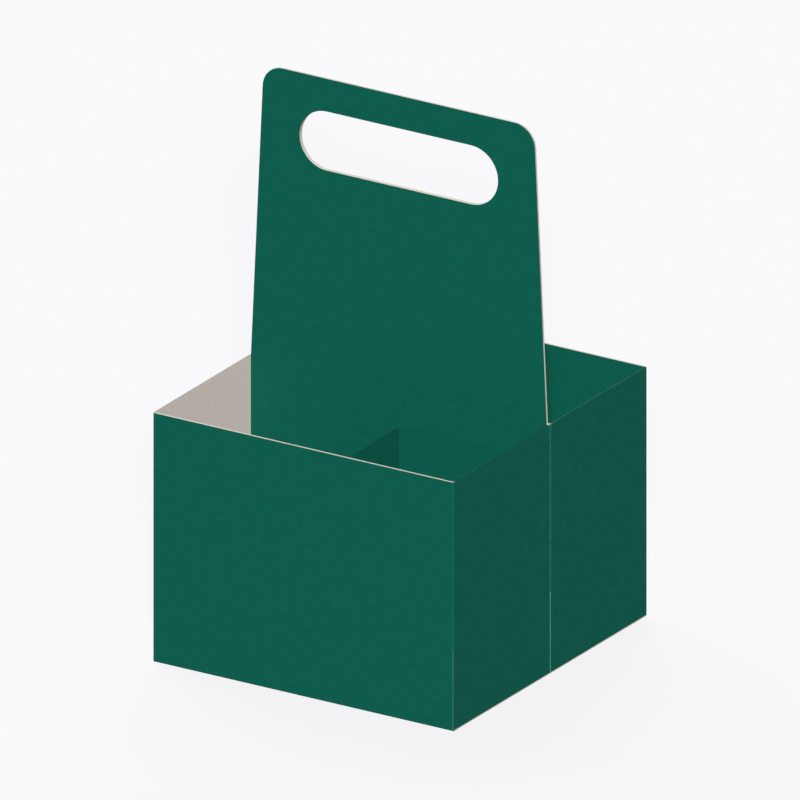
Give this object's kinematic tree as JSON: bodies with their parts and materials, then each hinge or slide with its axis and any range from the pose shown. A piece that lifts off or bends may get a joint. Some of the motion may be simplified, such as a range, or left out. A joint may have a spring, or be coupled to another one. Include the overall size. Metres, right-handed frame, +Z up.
{
  "type": "bottle carrier",
  "caption": "Folded and glued board bottle carrier with open cells, cross partitions and a tall double-ply handle with a slotted hand hole.",
  "frame": {"origin": "middle of the underside, on the surface that the carrier stands on", "axes": "+Z up, front wall towards -Y, end wall with the seam towards +X"},
  "size_m": [0.156, 0.1616, 0.2582],
  "materials": {
    "printed_board": "matte green print on solid bleached board, bare on the insides of the end walls and on every cut edge"
  },
  "bodies": {
    "root": {"carrier": "printed_board"}
  },
  "joints": []
}
